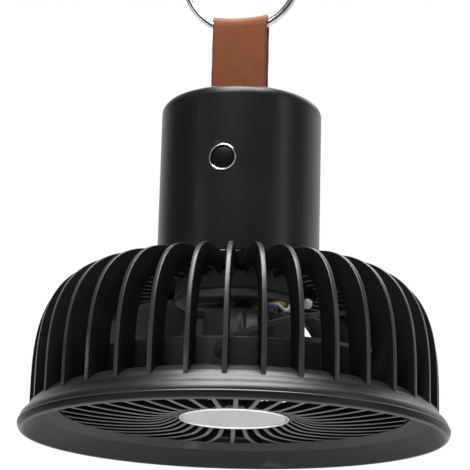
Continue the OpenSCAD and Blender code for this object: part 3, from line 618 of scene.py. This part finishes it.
def make_leather():
    """Smooth tan hide: fine pebbled grain, soft cloudy dye, a lighter band along the fold that is partly
    stretched leather and partly a painted highlight, and dark burnished edges.
    """
    material, tree, shader = start_material("tan_leather")
    link = tree.links.new
    hide = tree.nodes.new("ShaderNodeUVMap")
    hide.uv_map = "hide"
    cells = tree.nodes.new("ShaderNodeTexVoronoi")
    cells.feature = "DISTANCE_TO_EDGE"
    cells.inputs["Scale"].default_value = 1.5
    link(hide.outputs["UV"], cells.inputs["Vector"])
    pebble = tree.nodes.new("ShaderNodeMapRange")
    pebble.inputs["From Max"].default_value = 0.22
    link(cells.outputs["Distance"], pebble.inputs["Value"])
    cloud = noise(tree, hide.outputs["UV"], 0.16, 4, 0.6)
    fine = noise(tree, hide.outputs["UV"], 4.0, 4, 0.65)

    dye = tree.nodes.new("ShaderNodeValToRGB")
    dye.color_ramp.elements[0].position = 0.3
    dye.color_ramp.elements[0].color = (0.148, 0.038, 0.0085, 1)
    dye.color_ramp.elements[1].position = 0.72
    dye.color_ramp.elements[1].color = (0.182, 0.05, 0.012, 1)
    link(cloud, dye.inputs["Fac"])
    pores = mix_colour(tree, math_node(tree, "MULTIPLY_ADD", fine, 0.5, -0.1), dye.outputs["Color"],
                       (0.12, 0.032, 0.008, 1))
    split = tree.nodes.new("ShaderNodeSeparateXYZ")
    link(hide.outputs["UV"], split.inputs[0])
    across = math_node(tree, "ABSOLUTE", split.outputs["X"], 0)
    edge = tree.nodes.new("ShaderNodeMapRange")
    edge.inputs["From Min"].default_value = 9.6
    edge.inputs["From Max"].default_value = 10.6
    link(across, edge.inputs["Value"])
    burnished = mix_colour(tree, math_node(tree, "MULTIPLY", edge.outputs[0], 0.75), pores,
                           (0.075, 0.026, 0.014, 1))
    # Lighter along the fold: partly stretched leather, partly a painted highlight.
    along = math_node(tree, "ABSOLUTE", split.outputs["Y"], 0)
    fold_highlight_mask = tree.nodes.new("ShaderNodeMapRange")
    fold_highlight_mask.inputs["From Min"].default_value = 5.0
    fold_highlight_mask.inputs["From Max"].default_value = 1.5
    link(along, fold_highlight_mask.inputs["Value"])
    fold_highlighted = mix_colour(tree, math_node(tree, "MULTIPLY", fold_highlight_mask.outputs[0], 0.35), burnished,
                           (0.45, 0.22, 0.12, 1))
    link(fold_highlighted, shader.inputs["Base Color"])
    link(math_node(tree, "MULTIPLY_ADD", fine, 0.2, 0.42), shader.inputs["Roughness"])
    shader.inputs["Specular IOR Level"].default_value = 0.2
    grain_height = math_node(tree, "MULTIPLY_ADD", fine, 0.5, pebble.outputs[0])
    add_bump(tree, shader, grain_height, 0.06, 0.5)
    return material


finishes = {
    "housing_plastic": plastic("housing_plastic", (0.0055, 0.0055, 0.0058), 0.29, 2400, 0.012, 0.25,
                               (0.03, 0.03, 0.031), 0.35),
    "cage_plastic": plastic("cage_plastic", (0.005, 0.005, 0.0052), 0.3, 1800, 0.015, 0.3,
                            (0.12, 0.12, 0.122), 0.5),
    "grille_plastic": plastic("grille_plastic", (0.004, 0.004, 0.0042), 0.34, 1800, 0.015, 0.3,
                              (0.05, 0.05, 0.051), 0.26),
    "impeller_plastic": plastic("impeller_plastic", (0.016, 0.016, 0.0165), 0.42, 1500, 0.02, 0.35),
    "button_plastic": plastic("button_plastic", (0.003, 0.003, 0.0032), 0.3, 2600, 0.008, 0.2, None, 0.16),
    "inner_plastic": plastic("inner_plastic", (0.045, 0.045, 0.048), 0.5, 1500, 0.02, 0.3),
    "leather": make_leather(),
    "ring_steel": metallic("ring_steel", (0.74, 0.75, 0.77), 0.1),
    "chrome_trim": metallic("chrome_trim", (0.84, 0.85, 0.87), 0.06, 0.15, 0.005),
    "screw_steel": metallic("screw_steel", (0.6, 0.6, 0.62), 0.25, 0.4),
    "port_steel": metallic("port_steel", (0.55, 0.55, 0.57), 0.28, 0.4),
    "badge_grey": metallic("badge_grey", (0.56, 0.56, 0.565), 0.36, 0.5, 0.01, 0.45),
    "board": plastic("board", (0.015, 0.11, 0.045), 0.35, 900, 0.02, 0.2),
    "cell_sleeve": plastic("cell_sleeve", (0.03, 0.12, 0.35), 0.28, 600, 0.01, 0.2),
    "motor_metal": metallic("motor_metal", (0.12, 0.12, 0.125), 0.42, 0.6, 0.03, 0.6),
    "stator_steel": metallic("stator_steel", (0.35, 0.35, 0.36), 0.35, 0.6, 0.02),
    "copper": metallic("copper", (0.62, 0.26, 0.1), 0.25, 0.8, 0.06),
    "magnet": plastic("magnet", (0.09, 0.085, 0.082), 0.55, 900, 0.04, 0.4),
    "wire_yellow": plastic("wire_yellow", (0.62, 0.44, 0.03), 0.4, 1500, 0.02, 0.3),
    "wire_white": plastic("wire_white", (0.72, 0.72, 0.71), 0.4, 1500, 0.02, 0.2),
    "wire_purple": plastic("wire_purple", (0.16, 0.07, 0.3), 0.4, 1500, 0.02, 0.3),
    "white_nylon": plastic("white_nylon", (0.72, 0.72, 0.71), 0.38, 1200, 0.02, 0.15),
}

# Lit and shaded copies of the plastics for some faces of a moulding: a painted highlight on lower faces and
# on the rim's shoulder line, and painted shade on the collar and on walls that face a narrow gap
underside_painted_highlight = plastic("underside_painted_highlight", (0.02, 0.02, 0.0205), 0.26, 1800, 0.015, 0.3, (0.08, 0.08, 0.081), 0.7)
# Painted shade: a duller copy of the grille plastic for the duct walls and the groove.
duct_painted_shade = plastic("duct_painted_shade", (0.006, 0.006, 0.0063), 0.5, 1500, 0.02, 0.3, None, 0.2)
# Painted shade: a near-black, dull copy of the cage plastic for the collar under the housing.
collar_painted_shade = plastic("collar_painted_shade", (0.0015, 0.0015, 0.0016), 0.6, 1800, 0.015, 0.3, None, 0.06)
# Painted shade: a darker, low-specular copy of the cage plastic for the fin sides.
fin_side_painted_shade = plastic("fin_side_painted_shade", (0.0042, 0.0042, 0.0045), 0.5, 1800, 0.015, 0.3, (0.02, 0.02, 0.021), 0.045)
# Painted shade: a near-black copy of the grille plastic for the rib flanks.
rib_side_painted_shade = plastic("rib_side_painted_shade", (0.0012, 0.0012, 0.0013), 0.6, 1800, 0.015, 0.3, None, 0.05)
# Painted highlight: a lighter, glossier copy of the black plastic for the rim's shoulder line.
rim_painted_highlight_line = plastic("rim_painted_highlight_line", (0.02, 0.02, 0.0205), 0.3, 1800, 0.015, 0.3, None, 0.9)
slot_of = {row["node"]: row["material_slot"] for row in frame["record"]["subparts"]}
for node_name, node_object in nodes.items():
    node_object.data.materials.clear()
    node_object.data.materials.append(finishes[slot_of[node_name]])


# ---- cage ----

def dome_point(t, r_in, r_out, z_low, z_top):
    """A point of the dome's outline, from the housing (t = 0) out to the fin foot (t = 90)."""
    s, c = max(math.sin(math.radians(t)), 0), max(math.cos(math.radians(t)), 0)
    return (r_in + (r_out - r_in) * s ** (2 / DOME_POWER), z_low + (z_top - z_low) * c ** (2 / DOME_POWER))


def make_fins():
    """One fin, drawn as its outline, thickened and rounded, then copied round the axis."""
    foot_sink = 0.15
    outer = [dome_point(t, HOUSING_R, FIN_R, FIN_FOOT_Z + 1, DOME_Z) for t in range(3, 91, 3)]
    inner = [dome_point(t, HOUSING_R, FIN_IN_R, FIN_FOOT_Z + 6, DOME_Z - FIN_TOP_DEPTH)
             for t in range(90, 2, -4)]
    foot = [(FIN_R - 0.02, FIN_FOOT_Z - 0.1), (FIN_R - 1.6, FIN_FOOT_Z + 1.5 - foot_sink),
            (FIN_R - 4.4, FIN_FOOT_Z + 3.3 - foot_sink), (FIN_R - 7.6, FLARE_TOP - foot_sink),
            (FIN_IN_R, FLARE_TOP - foot_sink)]
    outline = [(COLLAR_R - 0.2, DOME_Z - FIN_TOP_DEPTH), (COLLAR_R - 0.2, DOME_Z), *outer, *foot, *inner]
    fin = plate("cage_fins_moulded", outline, FIN_T, 0.3)
    edges = finishes["cage_plastic"]
    # The fin sides get the painted-shade copy of the cage plastic, and the edges keep the plain finish.
    finish_faces(fin, [edges, fin_side_painted_shade], lambda face: fin_side_painted_shade if abs(face.normal.y) > 0.9 else edges)
    fins = copies_round(fin, FIN_COUNT, 0)
    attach(fins, "base")
    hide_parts("cage_fins")


def make_flare():
    """The flare under the fins, which runs down as a steep cone to a rounded shoulder at the seam."""
    flare = lathe("cage_flare_moulded", [
        (FLARE_IN_R, FLARE_TOP), (FIN_R - 7.6, FLARE_TOP), (FIN_R - 4.4, FIN_FOOT_Z + 3.3),
        (FIN_R - 1.6, FIN_FOOT_Z + 1.5), (FIN_R - 0.2, FIN_FOOT_Z),
        (FIN_R + 0.3, SEAM_Z + 4.6), (FIN_R + 1.0, SEAM_Z + 3.5), (RIM_R - 2.2, SEAM_Z + 2.6),
        (RIM_R - 1.4, SEAM_Z + 1.8), (RIM_R - 0.9, SEAM_Z + 1.0), (RIM_R - 0.65, SEAM_Z + 0.3),
        (RIM_R - 0.55, SEAM_Z - 0.46),
        (RIM_R - 2.6, SEAM_Z - 0.46), (RIM_R - 3.1, SEAM_Z + 0.9), (FIN_R - 2.4, FIN_FOOT_Z - 1.6),
        (FIN_R - 5.2, FIN_FOOT_Z + 1), (FLARE_IN_R, FIN_FOOT_Z + 2.4)], soften=0.3, steps=216)
    dress(flare, finishes["cage_plastic"], "base", "cage_plastic", "cage_flare")
    collar = softened("cage_collar", "cage_collar_moulded", 0.35)
    dress(collar, collar_painted_shade, "base", "cage_plastic", "cage_collar")
    trim = finishes["chrome_trim"]

    def collar_finish(face):
        """Chrome on the collar's upper outer edge as a painted highlight line, and a painted-shade copy of
        the cage plastic below it.
        """
        place = face.center / MM
        on_highlight_line = place.z > DOME_Z - 0.4 and place.xy.length > COLLAR_R - 0.4 and 0.2 < face.normal.z < 0.9
        return trim if on_highlight_line else collar_painted_shade

    finish_faces(collar, [collar_painted_shade, trim], collar_finish)


# ---- front grille ----

def rib_low(r):
    """Height of a rib's lower edge at radius r."""
    if r > RIB_CREST_R:
        return RIB_CREST_Z + RIB_RISE_OUT * ((r - RIB_CREST_R) / (RIB_END_R - RIB_CREST_R)) ** 2
    return RIB_CREST_Z + RIB_RISE_IN * ((RIB_CREST_R - r) / (RIB_CREST_R - GRILLE_HUB_R)) ** 2


def make_grille():
    """Rim bead, funnel, duct wall, ribs and hub, which are one moulding."""
    funnel_z = rib_low(FUNNEL_R) + 0.5
    rim = lathe("grille_rim", [
        (RIM_R - 1.9, 0.1), (RIM_R - 1.6, 0), (RIM_R - 1.2, 0), (RIM_R - 0.5, BEAD_Z * 0.3),
        (RIM_R - 0.1, BEAD_Z * 0.8), (RIM_R, BEAD_Z), (RIM_R, SEAM_Z - 1.0), (RIM_R - 0.12, SEAM_Z - 0.7),
        (RIM_R - 0.45, SEAM_Z - 0.5),
        (RIM_R - 3.2, SEAM_Z - 0.5), (RIM_R - 3.6, SEAM_Z + 0.7), (FIN_R - 2.7, FIN_FOOT_Z - 1.9),
        (FIN_R - 5.6, FIN_FOOT_Z + 0.4), (DUCT_OUT_R, FIN_FOOT_Z + 1.9), (DUCT_OUT_R, DUCT_TOP_Z),
        (DUCT_R, DUCT_TOP_Z), (DUCT_R, funnel_z + RIB_H), (SLOT_R, funnel_z + RIB_H - 0.6),
        (SLOT_R, funnel_z + GROOVE_DEPTH), (GROOVE_R, funnel_z + GROOVE_DEPTH), (GROOVE_R, funnel_z - 0.25),
        ((FUNNEL_R + RIM_R) / 2 - 1, funnel_z * 0.72), (RIM_R - 5, funnel_z * 0.36),
        (RIM_R - 2.6, 0.9)], soften=0.18, steps=216)
    bpy.ops.object.select_all(action="DESELECT")
    bpy.ops.mesh.primitive_cylinder_add(vertices=40, radius=DUCT_HOLE_R * MM, depth=8 * MM)
    drill = bpy.context.object
    drill.data.transform(
        Matrix.Rotation(math.radians(DUCT_HOLE_TURN - 90), 4, "Z")
        @ Matrix.Translation((DUCT_R * MM, 0, DUCT_HOLE_Z * MM))
        @ Matrix.Rotation(math.radians(90), 4, "Y"))
    cut = rim.modifiers.new("round_hole", "BOOLEAN")
    cut.operation = "DIFFERENCE"
    cut.object = drill
    apply_modifiers(rim)
    bpy.data.objects.remove(drill)
    shade(rim)

    count = 20
    radii = [GRILLE_HUB_R - 1 + i * (FUNNEL_R + 1 - GRILLE_HUB_R) / count for i in range(count + 1)]
    outline = [(r, rib_low(r)) for r in radii] + [(r, rib_low(r) + RIB_H) for r in reversed(radii)]
    rib = plate("grille_ribs", outline, RIB_W, 0.35)
    ribs = copies_round(rib, FIN_COUNT, RIB_TURN)
    moulding = finishes["grille_plastic"]
    # Ribs: a painted highlight on their lower faces and painted shade on every other face.
    finish_faces(ribs, [moulding, rib_side_painted_shade, underside_painted_highlight],
                 lambda face: underside_painted_highlight if face.normal.z < -0.6 else rib_side_painted_shade)

    face = rib_low(GRILLE_HUB_R)
    seat = face + 0.6
    hub = lathe("grille_hub", [
        (0, seat), (BADGE_R + SEAT_GAP, seat), (BADGE_R + SEAT_GAP, face - 0.3), (GRILLE_HUB_R, face),
        (GRILLE_HUB_R, face + RIB_H), (GRILLE_HUB_R - 1.6, face + RIB_H), (GRILLE_HUB_R - 2, seat + 1.4),
        (0, seat + 1.4)], closed=False, soften=0.2, steps=120)

    def rim_finish(face):
        """A painted highlight line on the rim's shoulder and lip, a painted highlight on its lowest faces,
        painted shade on the duct walls, and plain moulding elsewhere.
        """
        place = face.center / MM
        r = place.xy.length
        if r > RIM_R - 0.5 and place.z > SEAM_Z - 1.05:
            return rim_painted_highlight_line
        if place.z < 0.4:
            return underside_painted_highlight
        inward = r < GROOVE_R + 0.1 and place.z > funnel_z - 0.1
        outer = r > DUCT_OUT_R - 0.3 and place.z > FIN_FOOT_Z + 1.5
        return duct_painted_shade if inward and not outer else moulding

    used = [moulding, duct_painted_shade, underside_painted_highlight, rim_painted_highlight_line]
    finish_faces(rim, used, rim_finish)
    finish_faces(hub, used, lambda face: moulding)
    grille = join("front_grille_moulded", rim, ribs, hub)
    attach(grille, "base")
    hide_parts("front_grille")

    ring = lathe("hub_ring", [
        (BADGE_R - 1.4, seat - 0.1), (BADGE_R - 1.4, seat - 1.2), (BADGE_R - 1.15, seat - 1.65),
        (BADGE_R - 0.55, seat - 1.8), (BADGE_R - 0.1, seat - 1.4), (BADGE_R, seat - 0.1)],
        soften=0.15, steps=144, angle=60)
    dress(ring, finishes["chrome_trim"], "base", "chrome_trim", "badge_ring")
    disc_r = BADGE_R - 1.5
    disc = lathe("hub_disc", [
        (0, seat - 1.4), (disc_r - 0.6, seat - 1.4), (disc_r, seat - 1.2), (disc_r, seat - 0.1),
        (0, seat - 0.1)], closed=False, soften=0.2, steps=120)
    dress(disc, finishes["badge_grey"], "base", "badge_grey", "badge_disc")


# ---- strap and split ring ----

def make_strap():
    """One sheet of leather: up from the slot, over the ring and down again, given its thickness last."""
    legs = 14
    half_turn = 12
    line = [(-STRAP_LEG_Y, STRAP_TAIL_Z + i * (STRAP_FOLD_Z - STRAP_TAIL_Z) / legs) for i in range(legs)]
    line += [(-STRAP_LEG_Y * math.cos(math.pi * i / half_turn),
              STRAP_FOLD_Z + STRAP_LEG_Y * math.sin(math.pi * i / half_turn)) for i in range(half_turn + 1)]
    line += [(STRAP_LEG_Y, z) for y, z in reversed(line[:legs])]
    left = STRAP_X - STRAP_W / 2
    strap = draw_line("strap_leather", [Vector((left, y, z)) * MM for y, z in line], False)
    columns = 18
    for i in range(columns):
        if i == 0:
            bpy.ops.mesh.select_all(action="SELECT")
        bpy.ops.mesh.extrude_region_move(
            TRANSFORM_OT_translate={"value": (STRAP_W / columns * MM, 0, 0)})
    leave()

    run = [0.0]
    for a, b in zip(line, line[1:]):
        run.append(run[-1] + math.dist(a, b))
    middle = run[-1] / 2
    hide = strap.data.uv_layers.new(name="hide")
    count = len(line)
    for loop in strap.data.loops:
        v = loop.vertex_index
        hide.data[loop.index].uv = ((v // count) * STRAP_W / columns - STRAP_W / 2, run[v % count] - middle)
    for v in strap.data.vertices:
        across = (v.co.x / MM - STRAP_X) / (STRAP_W / 2)
        height = v.co.z / MM
        pull = min(max((height - STRAP_PULL_Z) / (STRAP_FOLD_Z + STRAP_LEG_Y - STRAP_PULL_Z), 0), 1) ** 2
        v.co.z -= 1.0 * MM * (1 - across * across) * pull
        swell = math.sin(math.pi * min(max((height - HOUSING_TOP) / (STRAP_FOLD_Z - HOUSING_TOP), 0), 1))
        side = -1 if v.co.y < 0 else 1
        v.co.y += side * 0.12 * MM * swell * (1 - across * across)
        v.co.x += 0.06 * MM * math.sin(height * 0.55 + side) * across
    thick = strap.modifiers.new("leather_thickness", "SOLIDIFY")
    thick.thickness = STRAP_T * MM
    thick.offset = 0
    apply_modifiers(strap)
    bevel(strap, 0.28, 3, 60)
    tidy_mesh(strap)
    shade(strap, 50)
    strap.data.materials.clear()
    strap.data.materials.append(finishes["leather"])
    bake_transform(strap)
    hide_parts("leather_strap", "strap_tails")


def make_ring():
    """Flat wire spun twice round, which steps across from one turn to the next over a short arc."""
    start = math.radians(52 + 21)
    mid = RING_R - RING_WIRE_W / 2
    w, t = RING_WIRE_W / 2, RING_WIRE_T / 2
    corners = [(-w, -0.55 * t), (-0.8 * w, -t), (0.8 * w, -t), (w, -0.55 * t),
               (w, 0.55 * t), (0.8 * w, t), (-0.8 * w, t), (-w, 0.55 * t)]
    points = []
    for across, along in corners:
        r = mid + across
        points.append(Vector((STRAP_X + r * math.cos(start), -RING_STEP / 2 + along,
                              RING_Z + r * math.sin(start))) * MM)
    ring = draw_line("split_ring_wire", points, True)
    bpy.ops.mesh.select_all(action="SELECT")
    bpy.ops.mesh.edge_face_add()
    centre = Vector((STRAP_X, 0, RING_Z)) * MM
    bpy.ops.mesh.select_mode(type="FACE")
    turn = {"center": centre, "axis": (0, -1, 0)}
    bpy.ops.mesh.spin(steps=150, angle=math.radians(RING_TURN), **turn)
    cross_steps = 16
    for _ in range(cross_steps):
        bpy.ops.mesh.spin(steps=1, angle=math.radians(RING_CROSSING / cross_steps), **turn)
        bpy.ops.transform.translate(value=(0, RING_STEP / cross_steps * MM, 0))
    bpy.ops.mesh.spin(steps=150, angle=math.radians(RING_TURN), **turn)
    leave()
    tidy_mesh(ring)
    shade(ring, 50)
    dress(ring, finishes["ring_steel"], "ring", "ring_steel", "split_ring")


# ---- housing, motor and impeller ----

def make_rest():
    for node, name, width, body, angle in (
            ("battery_housing", "housing_shell", 0.25, "base", 35),
            ("button_bezel", "button_ring", 0.1, "base", 50),
            ("power_button", "button_cap", 0.25, "button", 35),
            ("neck_cup", "neck_cup_moulded", 0.3, "base", 35),
            ("motor_plate", "motor_plate_cast", 0.3, "base", 35),
            ("charge_port", "port_shell", 0.1, "base", 50),
            ("impeller", "impeller_moulded", 0, "rotor", 40),
            ("wire_clip", "nylon_clip", 0.2, "base", 50),
            ("yellow_wire", "wire_yellow_sleeve", 0, "base", 80),
            ("white_wire", "wire_white_sleeve", 0, "base", 80),
            ("purple_wire", "wire_purple_sleeve", 0, "base", 80)):
        levels = BUTTON_LEVELS if node == "battery_housing" else ()
        piece = softened(node, name, width, angle=angle, levels=levels)
        if node == "battery_housing":
            true_round(piece, HOUSING_R, HOUSING_TOP, HOUSING_ROUND)
        if node.endswith("_wire"):
            piece.modifiers.new("smooth_run", "SUBSURF").levels = 2
            apply_modifiers(piece)
        dress(piece, finishes[slot_of[node]], body, slot_of[node], node)


make_camera()
make_world()
make_studio()
make_fins()
make_flare()
make_grille()
make_strap()
make_ring()
make_rest()

scene.view_settings.view_transform = "Standard"
